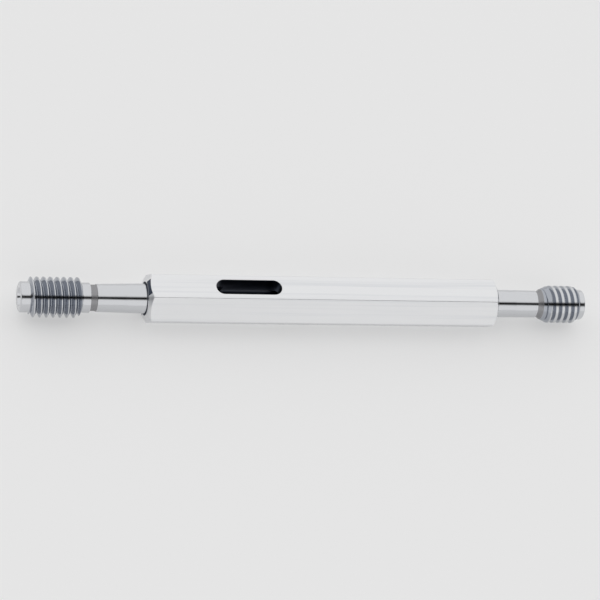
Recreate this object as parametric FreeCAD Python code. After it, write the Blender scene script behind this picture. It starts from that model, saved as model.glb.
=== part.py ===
import FreeCAD, Part
import math
import os

# A double-ended thread plug gauge for an M6 x 1 internal thread.
#
# Three pieces: a hexagonal aluminium handle and two hardened steel members that lock in its ends
# by their tapers. The GO member points along -X and has a long, full-form thread. The NO-GO
# member points along +X and has a short thread with flat, truncated crests.
#
# Millimetres, +Z up. The gauge lies on a flat of its handle. The origin is the middle of that flat,
# and the common axis of the three pieces runs along X, half the handle's width above it.

# Thread form, shared by both members
THREAD_NOMINAL_DIA = 6.0
THREAD_PITCH = 1.0
THREAD_FLANK_ANGLE = 60.0
NO_GO_PITCH_DIA_STEP = 0.15       # how much larger the NO-GO pitch diameter is than the GO one
NO_GO_CREST_HEIGHT = 0.10         # what is left of the NO-GO thread above its pitch diameter
GROOVE_OVERSHOOT = 0.04           # how far the thread cutter reaches past the crests

# Handle
HANDLE_ACROSS_FLATS = 7.0
HANDLE_LENGTH = 54.25
HANDLE_EDGE_RADIUS = 0.12
HANDLE_FACE_DIA = 5.9             # flat ring left on each end by the turned cone
HANDLE_CONE_ANGLE = 30.0          # angle of the turned cone, from the end face
MOUTH_DIA = 5.0                   # countersink at the mouth of each taper seat
MOUTH_DEPTH = 0.55
KNOCKOUT_BORE_DIA = 3.0           # joins the two seats
SEAT_PAST_SHANK = 0.9             # room in each seat beyond the end of its shank
SLOT_FROM_GO_END = 10.15
SLOT_LENGTH = 10.0
SLOT_WIDTH = 2.5

# Taper lock, the same in both ends
TAPER_PER_MM = 0.03               # change of diameter along each millimetre
TAPER_CLEARANCE = 0.005           # radial, between a seated shank and its seat
TAPER_INTO_SLOT = 0.6             # how far the end of the GO shank stands in the drift slot

# GO member, from its free end inwards
GO_PILOT_DIA = 4.53
GO_PILOT_LENGTH = 1.35
GO_FRONT_CHAMFER = 0.3
GO_THREAD_LENGTH = 7.75           # from the pilot to the relief, with both end chamfers
GO_BACK_CHAMFER = 0.4
GO_RELIEF_DIA = 4.45
GO_RELIEF_LENGTH = 1.25
GO_NECK_DIA = 3.88
GO_NECK_LENGTH = 0.92
GO_SHANK_START_DIA = 4.12
GO_SHANK_LENGTH = 7.33            # from the neck's shoulder to the end face of the handle
GO_TAPER_DIA = 4.44               # at the end face of the handle
GO_THREAD_START_ANGLE = 213.0

# NO-GO member, from its free end inwards
NO_GO_PILOT_DIA = 4.58
NO_GO_PILOT_LENGTH = 0.85
NO_GO_FRONT_CHAMFER = 0.65
NO_GO_THREAD_LENGTH = 5.9         # from the pilot to the neck, with the front chamfer and the back cone
NO_GO_BACK_CONE = 1.2
NO_GO_FLARE_DIA = 4.6
NO_GO_FLARE_LENGTH = 0.45         # cone from the neck up to the back cone
NO_GO_NECK_DIA = 3.9
NO_GO_NECK_LENGTH = 0.35
NO_GO_SHANK_START_DIA = 4.1
NO_GO_SHANK_LENGTH = 6.73
NO_GO_TAPER_DIA = 4.2             # at the end face of the handle
NO_GO_ENGAGED_LENGTH = 11.6
NO_GO_THREAD_START_ANGLE = 165.0

# Details shared by both members
PILOT_EDGE_CHAMFER = 0.15
SHOULDER_CHAMFER = 0.1            # length of the chamfer where the GO neck meets its shank
CENTRE_HOLE_DIA = 2.8
CENTRE_HOLE_ANGLE = 60.0
CENTRE_DRILL_DIA = 1.0
CENTRE_DRILL_DEPTH = 0.8

AXIS = FreeCAD.Vector(0, 0, 1)
ORIGIN = FreeCAD.Vector(0, 0, 0)
CYLINDRICAL = 0                   # apex angle of a helix that doesn't taper
AXIS_HEIGHT = HANDLE_ACROSS_FLATS / 2
HALF_FLANK_SLOPE = math.tan(math.radians(THREAD_FLANK_ANGLE / 2))

# The GO shank reaches into the drift slot, so that a wedge in the slot can push it out
GO_ENGAGED_LENGTH = SLOT_FROM_GO_END + TAPER_INTO_SLOT

# The pitch diameters follow from the nominal diameter and the pitch, as in the ISO metric thread
GO_PITCH_DIA = THREAD_NOMINAL_DIA - 0.6495 * THREAD_PITCH
NO_GO_PITCH_DIA = GO_PITCH_DIA + NO_GO_PITCH_DIA_STEP
NO_GO_MAJOR_DIA = NO_GO_PITCH_DIA + 2 * NO_GO_CREST_HEIGHT


def turned(outline):
    """Solid of revolution about Z from (radius, height) points, closed along the axis."""
    points = [FreeCAD.Vector(radius, 0, height) for radius, height in outline]
    face = Part.Face(Part.makePolygon(points + [points[0]]))
    return face.revolve(ORIGIN, AXIS, 360)


def slender_taper(start_dia, end_dia, start, length):
    """Long, slight taper up Z. It is held as a spline surface, which takes few facets."""
    base = FreeCAD.Vector(0, 0, start)
    return Part.makeCone(start_dia / 2, end_dia / 2, length, base, AXIS).toNurbs()


def thread_groove(pitch_dia, major_dia, length, start_angle):
    """Right-hand V groove as long as the threaded part and a pitch more at each end."""
    pitch_radius = pitch_dia / 2
    outer_radius = major_dia / 2 + GROOVE_OVERSHOOT
    root_radius = pitch_radius - THREAD_PITCH / 4 / HALF_FLANK_SLOPE
    half_width = (outer_radius - root_radius) * HALF_FLANK_SLOPE
    corners = [
        FreeCAD.Vector(root_radius, 0, 0),
        FreeCAD.Vector(outer_radius, 0, -half_width),
        FreeCAD.Vector(outer_radius, 0, half_width),
    ]
    profile = Part.makePolygon(corners + [corners[0]])
    helix = Part.makeLongHelix(THREAD_PITCH, length + 2 * THREAD_PITCH, root_radius, CYLINDRICAL)
    groove = Part.Wire(helix.Edges).makePipeShell([profile], True, True)
    groove.translate(-THREAD_PITCH * AXIS)
    groove.rotate(ORIGIN, AXIS, start_angle)
    return groove


def centre_hole():
    """Space of a centre hole that opens at Z = 0: a conical seat and a short drilled end."""
    mouth_radius = CENTRE_HOLE_DIA / 2
    drill_radius = CENTRE_DRILL_DIA / 2
    seat_depth = (mouth_radius - drill_radius) / math.tan(math.radians(CENTRE_HOLE_ANGLE / 2))
    return turned([
        (0, 0),
        (mouth_radius, 0),
        (drill_radius, seat_depth),
        (drill_radius, seat_depth + CENTRE_DRILL_DEPTH),
        (0, seat_depth + CENTRE_DRILL_DEPTH),
    ])


def pilot(dia, length):
    """Pilot standing on Z = 0, with its free edge chamfered."""
    radius = dia / 2
    return turned([
        (0, 0),
        (radius - PILOT_EDGE_CHAMFER, 0),
        (radius, PILOT_EDGE_CHAMFER),
        (radius, length),
        (0, length),
    ])


def shank(start_dia, face_dia, start, length, engaged_length):
    """Tapers of a member: out to its largest diameter at the handle, and in again inside it."""
    inner_dia = face_dia - TAPER_PER_MM * engaged_length
    outside = slender_taper(start_dia, face_dia, start, length)
    inside = slender_taper(face_dia, inner_dia, start + length, engaged_length)
    return [outside, inside]


def make_go_member():
    """GO member, free end at Z = 0, and the height at which the handle's end face meets it."""
    pilot_radius = GO_PILOT_DIA / 2
    relief_radius = GO_RELIEF_DIA / 2
    neck_radius = GO_NECK_DIA / 2
    major_radius = THREAD_NOMINAL_DIA / 2
    blank = turned([
        (0, 0),
        (pilot_radius, 0),
        (major_radius, GO_FRONT_CHAMFER),
        (major_radius, GO_THREAD_LENGTH - GO_BACK_CHAMFER),
        (relief_radius, GO_THREAD_LENGTH),
        (0, GO_THREAD_LENGTH),
    ])
    groove = thread_groove(GO_PITCH_DIA, THREAD_NOMINAL_DIA, GO_THREAD_LENGTH, GO_THREAD_START_ANGLE)
    thread = blank.cut(groove)
    thread.translate(GO_PILOT_LENGTH * AXIS)

    thread_end = GO_PILOT_LENGTH + GO_THREAD_LENGTH
    relief_end = thread_end + GO_RELIEF_LENGTH
    neck_end = relief_end + GO_NECK_LENGTH
    shoulder_end = neck_end + SHOULDER_CHAMFER
    undercut = turned([
        (0, thread_end),
        (relief_radius, thread_end),
        (relief_radius, relief_end),
        (neck_radius, relief_end),
        (neck_radius, neck_end),
        (GO_SHANK_START_DIA / 2, shoulder_end),
        (0, shoulder_end),
    ])
    tapers = shank(GO_SHANK_START_DIA, GO_TAPER_DIA, shoulder_end, GO_SHANK_LENGTH, GO_ENGAGED_LENGTH)
    member = pilot(GO_PILOT_DIA, GO_PILOT_LENGTH).fuse([thread, undercut] + tapers)
    return member.cut(centre_hole()), shoulder_end + GO_SHANK_LENGTH


def make_no_go_member():
    """NO-GO member, free end at Z = 0, and the height at which the handle's end face meets it."""
    flare_radius = NO_GO_FLARE_DIA / 2
    neck_radius = NO_GO_NECK_DIA / 2
    major_radius = NO_GO_MAJOR_DIA / 2
    blank = turned([
        (0, 0),
        (NO_GO_PILOT_DIA / 2, 0),
        (major_radius, NO_GO_FRONT_CHAMFER),
        (major_radius, NO_GO_THREAD_LENGTH - NO_GO_BACK_CONE),
        (flare_radius, NO_GO_THREAD_LENGTH),
        (0, NO_GO_THREAD_LENGTH),
    ])
    groove = thread_groove(NO_GO_PITCH_DIA, NO_GO_MAJOR_DIA, NO_GO_THREAD_LENGTH, NO_GO_THREAD_START_ANGLE)
    thread = blank.cut(groove)
    thread.translate(NO_GO_PILOT_LENGTH * AXIS)

    thread_end = NO_GO_PILOT_LENGTH + NO_GO_THREAD_LENGTH
    flare_end = thread_end + NO_GO_FLARE_LENGTH
    neck_end = flare_end + NO_GO_NECK_LENGTH
    undercut = turned([
        (0, thread_end),
        (flare_radius, thread_end),
        (neck_radius, flare_end),
        (neck_radius, neck_end),
        (0, neck_end),
    ])
    tapers = shank(
        NO_GO_SHANK_START_DIA, NO_GO_TAPER_DIA, neck_end, NO_GO_SHANK_LENGTH, NO_GO_ENGAGED_LENGTH
    )
    member = pilot(NO_GO_PILOT_DIA, NO_GO_PILOT_LENGTH).fuse([thread, undercut] + tapers)
    return member.cut(centre_hole()), neck_end + NO_GO_SHANK_LENGTH


def hexagon_bar():
    """Hexagonal bar along Z with a flat on each side of the X axis and softened long edges."""
    corner_radius = HANDLE_ACROSS_FLATS / math.sqrt(3)
    corners = []
    for step in range(6):
        angle = math.radians(30 + 60 * step)
        corners.append(FreeCAD.Vector(corner_radius * math.cos(angle), corner_radius * math.sin(angle), 0))
    bar = Part.Face(Part.makePolygon(corners + [corners[0]])).extrude(HANDLE_LENGTH * AXIS)
    long_edges = [edge for edge in bar.Edges if edge.Length > HANDLE_LENGTH - HANDLE_EDGE_RADIUS]
    return bar.makeFillet(HANDLE_EDGE_RADIUS, long_edges)


def coned_ends():
    """Envelope of the handle's turned ends: a cone at each end and room for the bar between."""
    face_radius = HANDLE_FACE_DIA / 2
    room_radius = HANDLE_ACROSS_FLATS
    cone_length = (room_radius - face_radius) * math.tan(math.radians(HANDLE_CONE_ANGLE))
    return turned([
        (0, 0),
        (face_radius, 0),
        (room_radius, cone_length),
        (room_radius, HANDLE_LENGTH - cone_length),
        (face_radius, HANDLE_LENGTH),
        (0, HANDLE_LENGTH),
    ])


def taper_seat(taper_dia, engaged_length, slender_length):
    """Space of a countersunk taper seat that opens at Z = 0 and goes up past the end of its shank.

    It is a slender taper along slender_length, and a plain cone where other cuts cross it.
    """
    mouth_taper_dia = taper_dia + 2 * TAPER_CLEARANCE
    seat_length = engaged_length + SEAT_PAST_SHANK
    slender_dia = mouth_taper_dia - TAPER_PER_MM * slender_length
    inner_dia = mouth_taper_dia - TAPER_PER_MM * seat_length
    seat = slender_taper(mouth_taper_dia, slender_dia, 0, slender_length)
    end_length = seat_length - slender_length
    end = Part.makeCone(slender_dia / 2, inner_dia / 2, end_length, slender_length * AXIS, AXIS)
    mouth = Part.makeCone(MOUTH_DIA / 2, inner_dia / 2, MOUTH_DEPTH)
    return [seat, end, mouth]


def drift_slot():
    """Round-ended slot right through the handle along X, for the wedge that frees the GO member."""
    half_width = SLOT_WIDTH / 2
    first = SLOT_FROM_GO_END + half_width
    last = SLOT_FROM_GO_END + SLOT_LENGTH - half_width
    side = -HANDLE_ACROSS_FLATS
    through = FreeCAD.Vector(2 * HANDLE_ACROSS_FLATS, 0, 0)
    middle = Part.makeBox(through.x, SLOT_WIDTH, last - first, FreeCAD.Vector(side, -half_width, first))
    ends = [
        Part.makeCylinder(half_width, through.x, FreeCAD.Vector(side, 0, height), through)
        for height in (first, last)
    ]
    return middle.fuse(ends).removeSplitter()


def make_handle():
    """Handle with its GO end at Z = 0."""
    go_seat = taper_seat(GO_TAPER_DIA, GO_ENGAGED_LENGTH, SLOT_FROM_GO_END - TAPER_INTO_SLOT)
    no_go_seat = taper_seat(NO_GO_TAPER_DIA, NO_GO_ENGAGED_LENGTH, NO_GO_ENGAGED_LENGTH)
    for space in no_go_seat:
        space.rotate(ORIGIN, FreeCAD.Vector(1, 0, 0), 180)
        space.translate(HANDLE_LENGTH * AXIS)
    knockout_bore = Part.makeCylinder(KNOCKOUT_BORE_DIA / 2, HANDLE_LENGTH)
    handle = hexagon_bar().common(coned_ends())
    return handle.cut(go_seat + no_go_seat + [knockout_bore, drift_slot()])


def lay_along_x(shape, start, towards):
    """Lay a shape built up Z along the gauge's axis, from X = start towards +X (1) or -X (-1)."""
    shape.rotate(ORIGIN, FreeCAD.Vector(0, 1, 0), 90 * towards)
    shape.translate(FreeCAD.Vector(start, 0, AXIS_HEIGHT))
    return shape


def main():
    half_length = HANDLE_LENGTH / 2
    go_member, go_stand_out = make_go_member()
    no_go_member, no_go_stand_out = make_no_go_member()
    pieces = {
        "handle": lay_along_x(make_handle(), -half_length, 1),
        "go_member": lay_along_x(go_member, -half_length - go_stand_out, 1),
        "no_go_member": lay_along_x(no_go_member, half_length + no_go_stand_out, -1),
    }
    os.makedirs("parts", exist_ok=True)
    for name, shape in pieces.items():
        shape.Solids[0].exportStep("parts/" + name + ".step")
        print(name, "solids", len(shape.Solids), "valid", shape.isValid(), "volume", round(shape.Volume, 3))


main()
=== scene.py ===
"""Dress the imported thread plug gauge: members with full threads, handle, finishes, light and camera.

The gauge lies along X on a flat of its handle. Sizes are in millimetres, and every mesh is
brought to metres when it is laid in its place.
"""

import logging
import math
from dataclasses import dataclass, field
from enum import Enum

import bmesh
import bpy
from mathutils import Matrix, Vector


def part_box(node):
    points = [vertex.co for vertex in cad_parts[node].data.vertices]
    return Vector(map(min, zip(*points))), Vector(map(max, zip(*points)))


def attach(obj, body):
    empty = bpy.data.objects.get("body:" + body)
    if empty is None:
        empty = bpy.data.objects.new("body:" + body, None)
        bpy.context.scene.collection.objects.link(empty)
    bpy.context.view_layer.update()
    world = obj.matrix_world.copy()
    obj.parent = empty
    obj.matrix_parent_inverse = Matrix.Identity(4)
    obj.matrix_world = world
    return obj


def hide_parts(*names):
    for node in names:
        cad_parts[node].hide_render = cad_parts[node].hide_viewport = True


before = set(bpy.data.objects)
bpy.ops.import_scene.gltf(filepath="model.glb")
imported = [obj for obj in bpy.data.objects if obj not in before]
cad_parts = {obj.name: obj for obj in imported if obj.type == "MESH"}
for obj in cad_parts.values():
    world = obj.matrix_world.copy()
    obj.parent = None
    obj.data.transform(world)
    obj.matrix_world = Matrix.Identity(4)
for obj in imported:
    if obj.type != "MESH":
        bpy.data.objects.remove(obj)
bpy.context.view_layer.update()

LOG = logging.getLogger("gauge")
MM = 0.001
BODY = "root"
AXIS = Vector((1.0, 0.0, 0.0))
SEGMENTS = 160
SHARP_EDGE = math.radians(24.0)
WELD = 1e-5
SLOT_MASK_MARGIN = 1e-6
GRAIN_HEIGHT = 0.00002
MIX_COLOURS = (6, 7)
MIX_COLOUR_RESULT = 2
MIX_FLOATS = (2, 3)

Outline = list[tuple[float, float]]


class Cut(Enum):
    """How one solid acts on another."""

    TAKE_AWAY = "DIFFERENCE"
    KEEP_COMMON = "INTERSECT"


class Facing(Enum):
    """Which way a member's free end points."""

    GO_END = 0.0
    NO_GO_END = math.pi


def lathe(outline: Outline, segments: int = SEGMENTS) -> bmesh.types.BMesh:
    """Turn an outline about X into a closed solid.

    Args:
        outline: (station, radius) points in order, first and last on the axis.
        segments: steps of the full turn.

    Returns:
        The solid's bmesh, with its normals outwards.
    """
    solid = bmesh.new()
    ring = [solid.verts.new((station, radius, 0.0)) for station, radius in outline]
    for first, second in zip(ring, ring[1:]):
        solid.edges.new((first, second))
    bmesh.ops.spin(
        solid, geom=solid.verts[:] + solid.edges[:], cent=(0, 0, 0), axis=AXIS, dvec=(0, 0, 0),
        angle=math.tau, steps=segments, use_merge=True, use_normal_flip=False, use_duplicate=False,
    )
    bmesh.ops.remove_doubles(solid, verts=solid.verts[:], dist=WELD)
    bmesh.ops.recalc_face_normals(solid, faces=solid.faces[:])
    return solid


def broken_edges(outline: Outline, size: float) -> Outline:
    """Break the corners of an outline that lie off the axis.

    Args:
        outline: (station, radius) points in order.
        size: length taken off each leg of a corner.

    Returns:
        The outline with two points for each broken corner.
    """
    points = [Vector(point) for point in outline]
    eased: Outline = [outline[0]]
    for before, corner, after in zip(points, points[1:], points[2:]):
        back = before - corner
        ahead = after - corner
        room = min(back.length, ahead.length) / 3
        step = min(size, room)
        eased.append(tuple(corner + back.normalized() * step))
        eased.append(tuple(corner + ahead.normalized() * step))
    eased.append(outline[-1])
    return eased


def as_object(name: str, solid: bmesh.types.BMesh) -> bpy.types.Object:
    """Make an object of a bmesh and free the bmesh."""
    mesh = bpy.data.meshes.new(name)
    solid.to_mesh(mesh)
    solid.free()
    thing = bpy.data.objects.new(name, mesh)
    bpy.context.scene.collection.objects.link(thing)
    return thing


def combine(body: bpy.types.Object, tool: bpy.types.Object, cut: Cut) -> None:
    """Cut a body with a tool, keep the result in the body's mesh and delete the tool.

    Args:
        body: closed solid that is changed.
        tool: closed solid that changes it.
        cut: what the tool does.
    """
    step = body.modifiers.new("cut", "BOOLEAN")
    step.operation = cut.value
    step.solver = "EXACT"
    step.object = tool
    shaped = bpy.data.meshes.new_from_object(body.evaluated_get(bpy.context.evaluated_depsgraph_get()))
    body.modifiers.clear()
    plain = body.data
    body.data = shaped
    bpy.data.meshes.remove(plain)
    bpy.data.objects.remove(tool)
    shaped.name = body.name


def lay_in_place(piece: bpy.types.Object, place: Matrix, node: str) -> None:
    """Move a finished piece's mesh to its place in metres and hand it to the frame.

    Args:
        piece: object modelled about X in millimetres.
        place: where it goes, in millimetres.
        node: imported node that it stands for.
    """
    piece.data.transform(Matrix.Scale(MM, 4) @ place)
    piece.data.polygons.foreach_set("use_smooth", [True] * len(piece.data.polygons))
    piece.data.set_sharp_from_angle(angle=SHARP_EDGE)
    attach(piece, BODY)
    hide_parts(node)


@dataclass(frozen=True)
class Thread:
    """One helical V groove and the land that is left between its turns."""

    major_dia: float
    root_dia: float
    pitch_dia: float
    start: float
    length: float
    start_angle: float
    pitch: float = 1.0
    flank_angle: float = 60.0
    overshoot: float = 0.05

    def groove(self) -> bmesh.types.BMesh:
        """Build the groove's own solid, a pitch longer than the thread at each end.

        Returns:
            The cutter's bmesh, ready to be taken away from a turned blank.
        """
        slope = math.tan(math.radians(self.flank_angle / 2))
        outer = self.major_dia / 2 + self.overshoot
        root = self.root_dia / 2
        pitch_radius = self.pitch_dia / 2
        half_at_outer = self.pitch / 4 + (outer - pitch_radius) * slope
        half_at_root = self.pitch / 4 - (pitch_radius - root) * slope
        first = self.start - self.pitch
        solid = bmesh.new()
        corners = [
            solid.verts.new((first - half_at_root, root, 0.0)),
            solid.verts.new((first - half_at_outer, outer, 0.0)),
            solid.verts.new((first + half_at_outer, outer, 0.0)),
            solid.verts.new((first + half_at_root, root, 0.0)),
        ]
        cap = solid.faces.new(corners)
        bmesh.ops.rotate(
            solid, verts=solid.verts[:], cent=(0, 0, 0),
            matrix=Matrix.Rotation(math.radians(self.start_angle), 3, AXIS),
        )
        turns = math.ceil(self.length / self.pitch) + 2
        bmesh.ops.spin(
            solid, geom=solid.verts[:] + solid.edges[:] + [cap], cent=(0, 0, 0), axis=AXIS,
            dvec=(self.pitch / SEGMENTS, 0, 0), angle=math.tau * turns, steps=SEGMENTS * turns,
            use_merge=False, use_normal_flip=False, use_duplicate=False,
        )
        bmesh.ops.recalc_face_normals(solid, faces=solid.faces[:])
        return solid


@dataclass(frozen=True)
class Member:
    """A hardened member: pilot, thread, undercut and the taper shank that locks in the handle."""

    node: str
    facing: Facing
    pilot_dia: float
    pilot_length: float
    thread: Thread
    behind_thread: Outline = field(default_factory=list)
    # Stations of the undercut, whose band gets painted shade (a darker colour) and a higher roughness.
    dark: tuple[float, float] = (0.0, 0.0)
    engaged_length: float = 11.6
    taper_per_mm: float = 0.03
    scribed_from_handle: float = 3.1
    front_chamfer: float = 0.5
    back_chamfer: float = 0.4
    edge_break: float = 0.05
    pilot_edge: float = 0.15
    centre_mouth_dia: float = 2.8
    centre_drill_dia: float = 1.0
    centre_drill_depth: float = 0.8
    centre_angle: float = 60.0
    scribed_width: float = 0.14
    scribed_depth: float = 0.04

    def outline(self) -> Outline:
        """List the turned outline from the bottom of the centre hole round to the inner end."""
        mouth = self.centre_mouth_dia / 2
        drill = self.centre_drill_dia / 2
        seat_depth = (mouth - drill) / math.tan(math.radians(self.centre_angle / 2))
        pilot = self.pilot_dia / 2
        major = self.thread.major_dia / 2
        thread_end = self.thread.start + self.thread.length
        behind = [(thread_end + step, dia / 2) for step, dia in self.behind_thread]
        face, face_radius = behind[-1]
        scribed = face - self.scribed_from_handle
        shank_start, shank_start_radius = behind[-2]
        rise = (face_radius - shank_start_radius) / (face - shank_start)
        scribed_radius = shank_start_radius + (scribed - shank_start) * rise
        half = self.scribed_width / 2
        line = [
            (scribed - half, scribed_radius),
            (scribed, scribed_radius - self.scribed_depth),
            (scribed + half, scribed_radius),
        ]
        inner = face_radius - self.taper_per_mm / 2 * self.engaged_length
        front = [
            (seat_depth + self.centre_drill_depth, 0.0),
            (seat_depth + self.centre_drill_depth, drill),
            (seat_depth, drill),
            (0.0, mouth),
            (0.0, pilot - self.pilot_edge),
            (self.pilot_edge, pilot),
            (self.pilot_length, pilot),
            (self.pilot_length + self.front_chamfer, major),
            (thread_end - self.back_chamfer, major),
        ]
        end = face + self.engaged_length
        back = [(face, face_radius), (end, inner), (end, 0.0)]
        return front + behind[:-1] + line + back

    def along_x(self, span: tuple[float, float]) -> tuple[float, float]:
        """Find where a span of stations from the free end lies along X, in metres."""
        low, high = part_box(self.node)
        if self.facing is Facing.GO_END:
            return low[0] + span[0] * MM, low[0] + span[1] * MM
        return high[0] - span[1] * MM, high[0] - span[0] * MM

    def finish(self) -> "GroundSteel":
        """Describe the steel with the painted shade of its undercut and its thread, where this member has
        them.
        """
        low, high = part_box(self.node)
        thread = (self.thread.start, self.thread.start + self.thread.length)
        return GroundSteel(
            name=self.node + "_steel", dark=self.along_x(self.dark), thread=self.along_x(thread),
            crest_radius=self.thread.major_dia / 2 * MM, height=(low[2] + high[2]) / 2,
        )

    def build(self) -> bpy.types.Object:
        """Turn the blank, cut its thread and lay it in place.

        Returns:
            The finished piece.
        """
        piece = as_object(self.node + "_ground", lathe(broken_edges(self.outline(), self.edge_break)))
        combine(piece, as_object(self.node + "_groove", self.thread.groove()), Cut.TAKE_AWAY)
        low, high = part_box(self.node)
        end = low[0] if self.facing is Facing.GO_END else high[0]
        axis_height = (low[2] + high[2]) / 2
        place = Matrix.Translation(Vector((end / MM, 0.0, axis_height / MM)))
        place = place @ Matrix.Rotation(self.facing.value, 4, "Z")
        lay_in_place(piece, place, self.node)
        return piece


@dataclass(frozen=True)
class Handle:
    """The hexagonal bar with turned ends, taper seats and a drift slot."""

    node: str = "handle"
    edge_radius: float = 0.12
    face_dia: float = 5.9
    cone_angle: float = 30.0
    mouth_dia: float = 5.0
    mouth_depth: float = 0.55
    go_taper_dia: float = 4.45
    no_go_taper_dia: float = 4.21
    taper_per_mm: float = 0.03
    go_seat_length: float = 11.65
    no_go_seat_length: float = 12.5
    bore_dia: float = 3.0
    slot_from_go_end: float = 10.15
    slot_length: float = 10.0
    slot_width: float = 2.5
    slot_edge: float = 0.06
    slot_segments: int = 64

    def bar(self, across: float, length: float) -> bmesh.types.BMesh:
        """Extrude the hexagon along X, centred, with a flat on top and softened long edges.

        Args:
            across: width across flats.
            length: length of the bar.

        Returns:
            The bar's bmesh.
        """
        solid = bmesh.new()
        bmesh.ops.create_circle(solid, cap_ends=True, segments=6, radius=across / math.sqrt(3))
        turn = Matrix.Rotation(math.pi / 2, 3, "Y")
        bmesh.ops.rotate(solid, verts=solid.verts[:], cent=(0, 0, 0), matrix=turn)
        top = max(vert.co.z for vert in solid.verts)
        if top > across / 2 * 1.05:
            lean = Matrix.Rotation(math.radians(30), 3, "X")
            bmesh.ops.rotate(solid, verts=solid.verts[:], cent=(0, 0, 0), matrix=lean)
        bmesh.ops.translate(solid, verts=solid.verts[:], vec=(-length / 2, 0, 0))
        drawn = bmesh.ops.extrude_face_region(solid, geom=solid.faces[:])
        moved = [item for item in drawn["geom"] if isinstance(item, bmesh.types.BMVert)]
        bmesh.ops.translate(solid, verts=moved, vec=(length, 0, 0))
        long_edges = [edge for edge in solid.edges if edge.calc_length() > length * 0.9]
        bmesh.ops.bevel(
            solid, geom=long_edges, offset=self.edge_radius, affect="EDGES", segments=4, profile=0.5,
            material=-1, clamp_overlap=True,
        )
        bmesh.ops.recalc_face_normals(solid, faces=solid.faces[:])
        return solid

    def envelope(self, across: float, length: float) -> bmesh.types.BMesh:
        """Turn the cone at each end and room for the bar between them.

        Args:
            across: width across flats.
            length: length of the bar.

        Returns:
            The envelope's bmesh.
        """
        face = self.face_dia / 2
        cone = (across - face) * math.tan(math.radians(self.cone_angle))
        half = length / 2
        return lathe([
            (-half, 0), (-half, face), (-half + cone, across),
            (half - cone, across), (half, face), (half, 0),
        ])

    def seat(self, taper_dia: float, length: float) -> Outline:
        """List a countersunk taper seat from outside the mouth inwards, stations from the end face.

        Args:
            taper_dia: diameter of the taper at the end face.
            length: how deep the seat goes.

        Returns:
            The seat's outline, down to the knockout bore.
        """
        slope = self.taper_per_mm / 2
        mouth_slope = (self.mouth_dia - taper_dia) / 2 / self.mouth_depth
        return [
            (-self.mouth_depth, self.mouth_dia / 2 + self.mouth_depth * mouth_slope),
            (self.mouth_depth, taper_dia / 2 - slope * self.mouth_depth),
            (length, taper_dia / 2 - slope * length),
            (length, self.bore_dia / 2),
        ]

    def bore(self, length: float) -> bmesh.types.BMesh:
        """Turn the whole space inside the bar: both seats and the bore that joins them.

        Args:
            length: length of the bar.

        Returns:
            The space's bmesh.
        """
        half = length / 2
        go_seat = self.seat(self.go_taper_dia, self.go_seat_length)
        no_go_seat = self.seat(self.no_go_taper_dia, self.no_go_seat_length)
        go_side = [(station - half, radius) for station, radius in go_seat]
        no_go_side = [(half - station, radius) for station, radius in no_go_seat]
        ends = [(go_side[0][0], 0.0)]
        return lathe(ends + go_side + no_go_side[::-1] + [(no_go_side[0][0], 0.0)])

    def slot(self, across: float, length: float) -> bmesh.types.BMesh:
        """Build the drift slot's space, round at both ends, right through the bar.

        Args:
            across: width across flats.
            length: length of the bar.

        Returns:
            The space's bmesh.
        """
        radius = self.slot_width / 2
        solid = bmesh.new()
        bmesh.ops.create_circle(solid, cap_ends=True, segments=self.slot_segments, radius=radius)
        half_step = Matrix.Rotation(math.pi / self.slot_segments, 3, "Z")
        bmesh.ops.rotate(solid, verts=solid.verts[:], cent=(0, 0, 0), matrix=half_step)
        far_end = [vert for vert in solid.verts if vert.co.x > 0]
        bmesh.ops.translate(solid, verts=far_end, vec=(self.slot_length - self.slot_width, 0, 0))
        first = self.slot_from_go_end + radius - length / 2
        bmesh.ops.translate(solid, verts=solid.verts[:], vec=(first, 0, -across))
        raised = bmesh.ops.extrude_face_region(solid, geom=solid.faces[:])
        moved = [item for item in raised["geom"] if isinstance(item, bmesh.types.BMVert)]
        bmesh.ops.translate(solid, verts=moved, vec=(0, 0, 2 * across))
        bmesh.ops.recalc_face_normals(solid, faces=solid.faces[:])
        return solid

    def ease_slot_rims(self, piece: bpy.types.Object, across: float, length: float) -> None:
        """Break the slot's edge on both flats.

        Args:
            piece: the bar with its slot cut.
            across: width across flats.
            length: length of the bar.
        """
        first = self.slot_from_go_end - length / 2
        last = first + self.slot_length
        margin = self.edge_radius
        solid = bmesh.new()
        solid.from_mesh(piece.data)

        def on_rim(vert: bmesh.types.BMVert) -> bool:
            """Tell whether a vertex lies on the slot's rim."""
            spot = vert.co
            on_flat = abs(abs(spot.z) - across / 2) < margin / 10
            within = abs(spot.y) < self.slot_width / 2 + margin
            return on_flat and within and first - margin < spot.x < last + margin

        rims = [edge for edge in solid.edges if all(on_rim(vert) for vert in edge.verts)]
        bmesh.ops.bevel(
            solid, geom=rims, offset=self.slot_edge, affect="EDGES", segments=2, profile=0.5,
            material=-1, clamp_overlap=True,
        )
        solid.to_mesh(piece.data)
        solid.free()

    def finish(self) -> "SatinAluminium":
        """Describe the aluminium with painted shade in its slot and mouths."""
        low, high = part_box(self.node)
        half = (high[2] - low[2]) / 2
        return SatinAluminium(
            height=low[2] + half, slot_half_width=self.slot_width / 2 * MM + SLOT_MASK_MARGIN,
            slot_half_depth=half - self.slot_edge * MM, mouth_radius=self.mouth_dia / 2 * MM,
        )

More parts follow.
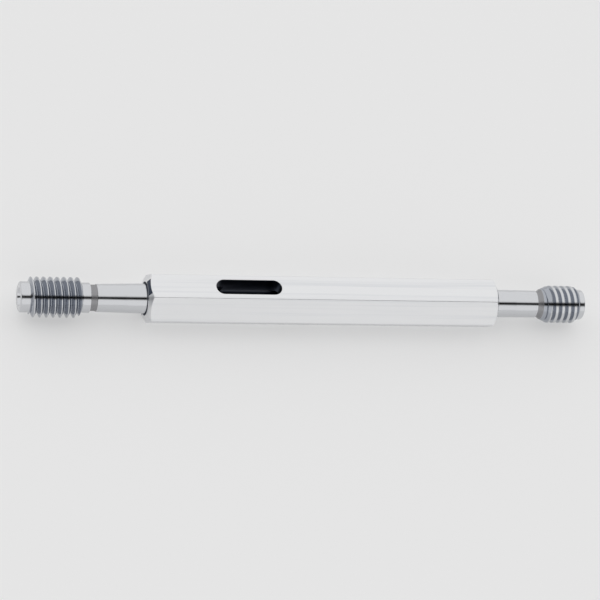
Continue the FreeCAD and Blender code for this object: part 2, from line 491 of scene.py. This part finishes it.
    def build(self) -> bpy.types.Object:
        """Cut the bar to shape and lay it in place.

        Returns:
            The finished piece.
        """
        low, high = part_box(self.node)
        across = (high[2] - low[2]) / MM
        length = (high[0] - low[0]) / MM
        piece = as_object(self.node + "_bar", self.bar(across, length))
        combine(piece, as_object("ends", self.envelope(across, length)), Cut.KEEP_COMMON)
        combine(piece, as_object("bore", self.bore(length)), Cut.TAKE_AWAY)
        combine(piece, as_object("slot", self.slot(across, length)), Cut.TAKE_AWAY)
        self.ease_slot_rims(piece, across, length)
        lay_in_place(piece, Matrix.Translation((0, 0, across / 2)), self.node)
        return piece


class NodeMaker:
    """Adds and joins nodes in one tree, for materials, groups and the world."""

    def __init__(self, tree: bpy.types.NodeTree) -> None:
        """Keep the tree that nodes are added to."""
        self.tree = tree

    def add(self, kind: str, **settings: object) -> bpy.types.Node:
        """Add a node.

        Args:
            kind: Blender's name of the node type.
            **settings: properties to set on it.

        Returns:
            The new node.
        """
        node = self.tree.nodes.new(kind)
        for name, value in settings.items():
            setattr(node, name, value)
        return node

    def join(self, source: bpy.types.NodeSocket, target: bpy.types.NodeSocket) -> None:
        """Link one socket to another."""
        self.tree.links.new(source, target)

    def math(self, operation: str, first: object, second: object = None) -> bpy.types.NodeSocket:
        """Add a Math node.

        Args:
            operation: name of the operation.
            first: socket or number.
            second: socket or number, if the operation has one.

        Returns:
            The result's socket.
        """
        node = self.add("ShaderNodeMath", operation=operation)
        for socket, value in zip(node.inputs, (first, second)):
            if isinstance(value, bpy.types.NodeSocket):
                self.join(value, socket)
            elif value is not None:
                socket.default_value = value
        return node.outputs[0]

    def blend(self, share: bpy.types.NodeSocket, first: object, second: object) -> bpy.types.NodeSocket:
        """Mix two colours.

        Args:
            share: how much of the second.
            first: colour or socket.
            second: colour or socket.

        Returns:
            The mixed colour's socket.
        """
        node = self.add("ShaderNodeMix", data_type="RGBA")
        self.join(share, node.inputs["Factor"])
        for index, value in zip(MIX_COLOURS, (first, second)):
            socket = node.inputs[index]
            if isinstance(value, bpy.types.NodeSocket):
                self.join(value, socket)
            else:
                socket.default_value = value
        return node.outputs[MIX_COLOUR_RESULT]

    def spread(self, value: bpy.types.NodeSocket, source: tuple, target: tuple) -> bpy.types.NodeSocket:
        """Map a value smoothly from one range to another.

        Args:
            value: socket to map.
            source: low and high of the value.
            target: what they become.

        Returns:
            The mapped value's socket.
        """
        node = self.add("ShaderNodeMapRange", interpolation_type="SMOOTHSTEP")
        self.join(value, node.inputs["Value"])
        for name, number in zip(("From Min", "From Max", "To Min", "To Max"), source + target):
            node.inputs[name].default_value = number
        return node.outputs["Result"]


def new_group(name: str, inputs: dict, outputs: dict) -> tuple:
    """Start a shader node group.

    Args:
        name: name of the group.
        inputs: socket type and default value of each input by name.
        outputs: socket type of each output by name.

    Returns:
        The group, its node maker, its input node and its output node.
    """
    group = bpy.data.node_groups.new(name, "ShaderNodeTree")
    for label, (kind, value) in inputs.items():
        socket = group.interface.new_socket(label, in_out="INPUT", socket_type=kind)
        socket.default_value = value
    for label, kind in outputs.items():
        group.interface.new_socket(label, in_out="OUTPUT", socket_type=kind)
    maker = NodeMaker(group)
    return group, maker, maker.add("NodeGroupInput"), maker.add("NodeGroupOutput")


def grain_group() -> bpy.types.NodeTree:
    """Make the fine drawn or ground lines that both metals share.

    Returns:
        The group: lines run across the direction with the larger count per metre.
    """
    number = "NodeSocketFloat"
    group, maker, given, result = new_group(
        "metal_grain",
        {"Along": (number, 1000.0), "Across": (number, 100.0), "Depth": (number, 0.1)},
        {"Lines": number, "Normal": "NodeSocketVector"},
    )
    place = maker.add("ShaderNodeTexCoord")
    counts = maker.add("ShaderNodeCombineXYZ")
    maker.join(given.outputs["Along"], counts.inputs["X"])
    maker.join(given.outputs["Across"], counts.inputs["Y"])
    maker.join(given.outputs["Across"], counts.inputs["Z"])
    stretched = maker.add("ShaderNodeVectorMath", operation="MULTIPLY")
    maker.join(place.outputs["Object"], stretched.inputs[0])
    maker.join(counts.outputs["Vector"], stretched.inputs[1])
    noise = maker.add("ShaderNodeTexNoise")
    noise.inputs["Scale"].default_value = 1.0
    noise.inputs["Detail"].default_value = 3.0
    noise.inputs["Roughness"].default_value = 0.6
    maker.join(stretched.outputs["Vector"], noise.inputs["Vector"])
    bump = maker.add("ShaderNodeBump")
    bump.inputs["Distance"].default_value = GRAIN_HEIGHT
    maker.join(given.outputs["Depth"], bump.inputs["Strength"])
    maker.join(noise.outputs["Fac"], bump.inputs["Height"])
    maker.join(noise.outputs["Fac"], result.inputs["Lines"])
    maker.join(bump.outputs["Normal"], result.inputs["Normal"])
    return group


def band_group() -> bpy.types.NodeTree:
    """Make a mask that is 1 between two places along X and fades softly outside them.

    Returns:
        The group.
    """
    number = "NodeSocketFloat"
    group, maker, given, result = new_group(
        "band_along_axis",
        {"Start": (number, 0.0), "End": (number, 0.001), "Fade": (number, 0.00005)},
        {"Mask": number},
    )
    place = maker.add("ShaderNodeTexCoord")
    parts = maker.add("ShaderNodeSeparateXYZ")
    maker.join(place.outputs["Object"], parts.inputs["Vector"])
    past_start = maker.math("SUBTRACT", parts.outputs["X"], given.outputs["Start"])
    short_of_end = maker.math("SUBTRACT", given.outputs["End"], parts.outputs["X"])
    after = maker.math("DIVIDE", past_start, given.outputs["Fade"])
    before = maker.math("DIVIDE", short_of_end, given.outputs["Fade"])
    inside = maker.math("MINIMUM", after, before)
    clipped = maker.math("MAXIMUM", maker.math("MINIMUM", inside, 1.0), 0.0)
    maker.join(clipped, result.inputs["Mask"])
    return group


def tarnish_group() -> bpy.types.NodeTree:
    """Make the slow, uneven change of sheen that handling leaves.

    Returns:
        The group.
    """
    number = "NodeSocketFloat"
    group, maker, given, result = new_group(
        "handled_sheen",
        {"Size": (number, 200.0), "Low": (number, 0.2), "High": (number, 0.3)},
        {"Value": number},
    )
    place = maker.add("ShaderNodeTexCoord")
    noise = maker.add("ShaderNodeTexNoise")
    noise.inputs["Detail"].default_value = 4.0
    maker.join(place.outputs["Object"], noise.inputs["Vector"])
    maker.join(given.outputs["Size"], noise.inputs["Scale"])
    span = maker.math("SUBTRACT", given.outputs["High"], given.outputs["Low"])
    risen = maker.math("MULTIPLY", span, noise.outputs["Fac"])
    maker.join(maker.math("ADD", risen, given.outputs["Low"]), result.inputs["Value"])
    return group


def radius_group() -> bpy.types.NodeTree:
    """Make a mask that rises from 0 to 1 between two radii about the gauge's axis.

    Returns:
        The group.
    """
    number = "NodeSocketFloat"
    group, maker, given, result = new_group(
        "radius_about_axis",
        {"Height": (number, 0.0035), "Inner": (number, 0.001), "Outer": (number, 0.002)},
        {"Mask": number},
    )
    place = maker.add("ShaderNodeTexCoord")
    parts = maker.add("ShaderNodeSeparateXYZ")
    maker.join(place.outputs["Object"], parts.inputs["Vector"])
    rise = maker.math("SUBTRACT", parts.outputs["Z"], given.outputs["Height"])
    across_squared = maker.math("POWER", parts.outputs["Y"], 2.0)
    squares = maker.math("ADD", across_squared, maker.math("MULTIPLY", rise, rise))
    radius = maker.math("SQRT", squares)
    span = maker.math("SUBTRACT", given.outputs["Outer"], given.outputs["Inner"])
    share = maker.math("DIVIDE", maker.math("SUBTRACT", radius, given.outputs["Inner"]), span)
    maker.join(maker.math("MAXIMUM", maker.math("MINIMUM", share, 1.0), 0.0), result.inputs["Mask"])
    return group


def slot_group() -> bpy.types.NodeTree:
    """Make a mask that is 1 within a width of the gauge's middle plane, below its flats.

    Returns:
        The group.
    """
    number = "NodeSocketFloat"
    group, maker, given, result = new_group(
        "slot_walls",
        {"Height": (number, 0.0035), "Half Width": (number, 0.00125), "Half Depth": (number, 0.0034)},
        {"Mask": number},
    )
    place = maker.add("ShaderNodeTexCoord")
    parts = maker.add("ShaderNodeSeparateXYZ")
    maker.join(place.outputs["Object"], parts.inputs["Vector"])
    across = maker.math("ABSOLUTE", parts.outputs["Y"])
    depth = maker.math("ABSOLUTE", maker.math("SUBTRACT", parts.outputs["Z"], given.outputs["Height"]))
    narrow = maker.math("LESS_THAN", across, given.outputs["Half Width"])
    below = maker.math("LESS_THAN", depth, given.outputs["Half Depth"])
    maker.join(maker.math("MULTIPLY", narrow, below), result.inputs["Mask"])
    return group


@dataclass(frozen=True)
class Effects:
    """The node groups that the finishes share."""

    grain: bpy.types.NodeTree
    band: bpy.types.NodeTree
    sheen: bpy.types.NodeTree
    radius: bpy.types.NodeTree
    slot: bpy.types.NodeTree

    def place(self, maker: NodeMaker, group: bpy.types.NodeTree, **values: float) -> bpy.types.Node:
        """Put one of the groups in a material.

        Args:
            maker: node maker of the material.
            group: the group.
            **values: its inputs' values, underscores standing for spaces.

        Returns:
            The group's node.
        """
        node = maker.add("ShaderNodeGroup")
        node.node_tree = group
        for name, value in values.items():
            node.inputs[name.replace("_", " ")].default_value = value
        return node


@dataclass(frozen=True)
class GroundSteel:
    """Hardened steel, ground bright round its axis, with painted shade in its undercut and between its
    thread crests.
    """

    name: str
    # X range of the undercut's band, which gets painted shade (a darker colour) and a higher roughness.
    dark: tuple[float, float]
    thread: tuple[float, float]
    crest_radius: float
    height: float
    colour: tuple = (0.63, 0.64, 0.66, 1.0)
    # Painted shade colour for the undercut's band.
    undercut_shade_colour: tuple = (0.30, 0.30, 0.31, 1.0)
    # Painted shade colour for the thread's flanks below the crests.
    thread_shade_colour: tuple = (0.40, 0.42, 0.46, 1.0)
    crest_depth: float = 0.00006
    roughness: tuple = (0.10, 0.16)
    dark_roughness: float = 0.3
    lines_along: float = 22000.0
    lines_across: float = 260.0
    lines_depth: float = 0.12
    sheen_size: float = 420.0
    band_fade: float = 0.00004

    def make(self, effects: Effects) -> bpy.types.Material:
        """Build the material.

        Args:
            effects: shared node groups.

        Returns:
            The material.
        """
        material = bpy.data.materials.new(self.name)
        material.use_nodes = True
        maker = NodeMaker(material.node_tree)
        shader = material.node_tree.nodes["Principled BSDF"]
        shader.inputs["Metallic"].default_value = 1.0
        grain = effects.place(
            maker, effects.grain, Along=self.lines_along, Across=self.lines_across, Depth=self.lines_depth,
        )
        sheen = effects.place(
            maker, effects.sheen, Size=self.sheen_size, Low=self.roughness[0], High=self.roughness[1],
        )
        # Painted shade: the undercut's band darkens the base colour, and also raises the roughness.
        dark = effects.place(
            maker, effects.band, Start=self.dark[0], End=self.dark[1], Fade=self.band_fade,
        )
        thread = effects.place(
            maker, effects.band, Start=self.thread[0], End=self.thread[1], Fade=self.band_fade,
        )
        crest = effects.place(
            maker, effects.radius, Height=self.height, Inner=self.crest_radius - self.crest_depth,
            Outer=self.crest_radius - self.crest_depth / 3,
        )
        # Painted shade: within the thread, everything below the crest radius gets a darker colour.
        below_crest = maker.math("SUBTRACT", 1.0, crest.outputs["Mask"])
        groove = maker.math("MULTIPLY", thread.outputs["Mask"], below_crest)
        flanks_with_shade = maker.blend(groove, self.colour, self.thread_shade_colour)
        maker.join(maker.blend(dark.outputs["Mask"], flanks_with_shade, self.undercut_shade_colour), shader.inputs["Base Color"])
        rough = maker.add("ShaderNodeMix", data_type="FLOAT")
        maker.join(dark.outputs["Mask"], rough.inputs["Factor"])
        maker.join(sheen.outputs["Value"], rough.inputs[MIX_FLOATS[0]])
        rough.inputs[MIX_FLOATS[1]].default_value = self.dark_roughness
        maker.join(rough.outputs[0], shader.inputs["Roughness"])
        maker.join(grain.outputs["Normal"], shader.inputs["Normal"])
        return material


@dataclass(frozen=True)
class SatinAluminium:
    """Drawn aluminium bar, anodised satin, with its lines along the bar and painted shade darkening its slot
    and its mouths.
    """

    height: float
    slot_half_width: float
    slot_half_depth: float
    mouth_radius: float
    name: str = "satin_aluminium_finish"
    colour: tuple = (0.80, 0.805, 0.815, 1.0)
    streak_colour: tuple = (0.72, 0.73, 0.75, 1.0)
    # Painted shade colour for the slot's walls and the mouths' countersinks.
    recess_shade_colour: tuple = (0.05, 0.06, 0.085, 1.0)
    roughness: tuple = (0.28, 0.36)
    lines_along: float = 150.0
    lines_across: float = 9000.0
    lines_depth: float = 0.25
    streaks_along: float = 14.0
    streaks_across: float = 1100.0
    streak_range: tuple = (0.45, 0.7)
    sheen_size: float = 300.0
    mouth_fade: float = 1.01

    def make(self, effects: Effects) -> bpy.types.Material:
        """Build the material.

        Args:
            effects: shared node groups.

        Returns:
            The material.
        """
        material = bpy.data.materials.new(self.name)
        material.use_nodes = True
        maker = NodeMaker(material.node_tree)
        shader = material.node_tree.nodes["Principled BSDF"]
        shader.inputs["Metallic"].default_value = 1.0
        grain = effects.place(
            maker, effects.grain, Along=self.lines_along, Across=self.lines_across, Depth=self.lines_depth,
        )
        streaks = effects.place(
            maker, effects.grain, Along=self.streaks_along, Across=self.streaks_across, Depth=0.0,
        )
        sheen = effects.place(
            maker, effects.sheen, Size=self.sheen_size, Low=self.roughness[0], High=self.roughness[1],
        )
        slot = effects.place(
            maker, effects.slot, Height=self.height, Half_Width=self.slot_half_width,
            Half_Depth=self.slot_half_depth,
        )
        mouth = effects.place(
            maker, effects.radius, Height=self.height, Inner=self.mouth_radius,
            Outer=self.mouth_radius * self.mouth_fade,
        )
        # Painted shade: the slot's walls and everything inside the mouth radius get a near-black colour.
        inside_mouth = maker.math("SUBTRACT", 1.0, mouth.outputs["Mask"])
        recess_shade = maker.math("MAXIMUM", slot.outputs["Mask"], inside_mouth)
        streak = maker.spread(streaks.outputs["Lines"], self.streak_range, (0.0, 1.0))
        streaked = maker.blend(streak, self.colour, self.streak_colour)
        maker.join(maker.blend(recess_shade, streaked, self.recess_shade_colour), shader.inputs["Base Color"])
        maker.join(sheen.outputs["Value"], shader.inputs["Roughness"])
        maker.join(grain.outputs["Normal"], shader.inputs["Normal"])
        return material


@dataclass(frozen=True)
class Studio:
    """Camera, pale floor and soft light round the gauge."""

    lens: float = 171.0
    sensor: float = 36.0
    elevation: float = 57.0
    yaw: float = 16.0
    roll: float = 0.81
    distance: float = 408.8
    aim: float = -120.575
    drop: float = 0.11
    sky: float = 1.2
    floor_glow: float = 0.4
    floor_colour: tuple = (0.5, 0.5, 0.5, 1.0)
    floor_size: float = 3.0
    dark_strip: tuple = (0.07, 0.30)
    behind_fade: tuple = (-0.1, 0.1)

    def facing(self) -> Vector:
        """Give the direction from the gauge's axis towards the viewer, square to the axis."""
        angle = math.radians(self.elevation)
        return Vector((0.0, -math.cos(angle), math.sin(angle)))

    def camera(self) -> bpy.types.Object:
        """Set up the camera.

        Returns:
            The camera object.
        """
        toward = self.facing()
        upward = toward.cross(AXIS)
        yaw = math.radians(self.yaw)
        roll = math.radians(self.roll)
        view = AXIS * math.sin(yaw) - toward * math.cos(yaw)
        right = AXIS * math.cos(yaw) + toward * math.sin(yaw)
        rolled_right = right * math.cos(roll) + upward * math.sin(roll)
        rolled_up = upward * math.cos(roll) - right * math.sin(roll)
        low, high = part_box("handle")
        centre = Vector((self.aim * MM, 0.0, (low[2] + high[2]) / 2))
        spot = centre + (toward * self.distance + upward * self.drop) * MM
        data = bpy.data.cameras.new("camera")
        data.lens = self.lens
        data.sensor_width = self.sensor
        data.clip_start = 0.01
        camera = bpy.data.objects.new("camera", data)
        turn = Matrix((rolled_right, rolled_up, -view)).transposed().to_4x4()
        camera.matrix_world = Matrix.Translation(spot) @ turn
        bpy.context.scene.collection.objects.link(camera)
        bpy.context.scene.camera = camera
        return camera

    def floor(self) -> bpy.types.Object:
        """Lay the pale floor, which glows where it is seen or reflected and keeps its shadows.

        Returns:
            The floor object.
        """
        sheet = bmesh.new()
        bmesh.ops.create_grid(sheet, x_segments=1, y_segments=1, size=self.floor_size / 2)
        floor = as_object("floor", sheet)
        material = bpy.data.materials.new("pale_floor")
        material.use_nodes = True
        maker = NodeMaker(material.node_tree)
        material.node_tree.nodes.clear()
        surface = maker.add("ShaderNodeBsdfDiffuse")
        surface.inputs["Color"].default_value = self.floor_colour
        seen = maker.add("ShaderNodeLightPath")
        direct = maker.math("MAXIMUM", seen.outputs["Is Camera Ray"], seen.outputs["Is Glossy Ray"])
        direct = maker.math("MAXIMUM", direct, seen.outputs["Is Transmission Ray"])
        glow = maker.add("ShaderNodeEmission")
        maker.join(maker.math("MULTIPLY", direct, self.floor_glow), glow.inputs["Strength"])
        both = maker.add("ShaderNodeAddShader")
        maker.join(surface.outputs[0], both.inputs[0])
        maker.join(glow.outputs[0], both.inputs[1])
        output = maker.add("ShaderNodeOutputMaterial")
        maker.join(both.outputs[0], output.inputs["Surface"])
        floor.data.materials.append(material)
        return floor

    def surroundings(self) -> None:
        """Light the gauge all round, with one dark strip where the viewer stands."""
        world = bpy.data.worlds.new("studio")
        world.use_nodes = True
        bpy.context.scene.world = world
        maker = NodeMaker(world.node_tree)
        world.node_tree.nodes.clear()
        upward = self.facing().cross(AXIS)
        toward = self.facing()
        place = maker.add("ShaderNodeTexCoord")

        def along(direction: Vector) -> bpy.types.NodeSocket:
            """Measure the ray's direction along another."""
            node = maker.add("ShaderNodeVectorMath", operation="DOT_PRODUCT")
            maker.join(place.outputs["Generated"], node.inputs[0])
            node.inputs[1].default_value = direction
            return node.outputs["Value"]

        off_strip = maker.math("ABSOLUTE", along(upward))
        open_sky = maker.spread(off_strip, self.dark_strip, (0.0, 1.0))
        behind = maker.spread(along(toward), self.behind_fade, (1.0, 0.0))
        open_sky = maker.math("MAXIMUM", open_sky, behind)
        light = maker.math("MULTIPLY", open_sky, self.sky)
        seen = maker.add("ShaderNodeLightPath")
        shown = maker.math("MAXIMUM", light, seen.outputs["Is Camera Ray"])
        background = maker.add("ShaderNodeBackground")
        maker.join(shown, background.inputs["Strength"])
        output = maker.add("ShaderNodeOutputWorld")
        maker.join(background.outputs[0], output.inputs["Surface"])


def go_member() -> Member:
    """Describe the GO member: a long thread of full form behind a plain pilot."""
    thread = Thread(
        major_dia=6.0, root_dia=4.6, pitch_dia=5.3505, start=1.35, length=7.75, start_angle=123.0,
    )
    behind = [(0.0, 4.45), (1.25, 4.45), (1.25, 3.88), (2.17, 3.88), (2.27, 4.12), (9.6, 4.44)]
    return Member(
        node="go_member", facing=Facing.GO_END, pilot_dia=4.53, pilot_length=1.35, thread=thread,
        behind_thread=behind, engaged_length=10.75, front_chamfer=0.3, back_chamfer=0.4, dark=(10.35, 11.37),
    )


def no_go_member() -> Member:
    """Describe the NO-GO member: a short thread with flat, truncated crests."""
    thread = Thread(
        major_dia=5.7005, root_dia=4.7, pitch_dia=5.5005, start=0.85, length=5.9, start_angle=255.0,
    )
    behind = [(0.0, 4.6), (0.45, 3.9), (0.8, 3.9), (0.8, 4.1), (7.53, 4.2)]
    return Member(
        node="no_go_member", facing=Facing.NO_GO_END, pilot_dia=4.58, pilot_length=0.85, thread=thread,
        behind_thread=behind, engaged_length=11.6, front_chamfer=0.65, back_chamfer=1.2, dark=(6.72, 7.55),
    )


def main() -> None:
    """Build the gauge's pieces, dress them and set up the studio."""
    logging.basicConfig(level=logging.INFO, format="%(message)s")
    bpy.context.scene.view_settings.view_transform = "Standard"
    effects = Effects(grain_group(), band_group(), tarnish_group(), radius_group(), slot_group())
    studio = Studio()
    studio.camera()
    studio.surroundings()
    studio.floor()
    for part in (go_member(), no_go_member(), Handle()):
        piece = part.build()
        piece.data.materials.clear()
        piece.data.materials.append(part.finish().make(effects))
        LOG.info("%s: %d faces", piece.name, len(piece.data.polygons))


if __name__ == "__main__":
    main()
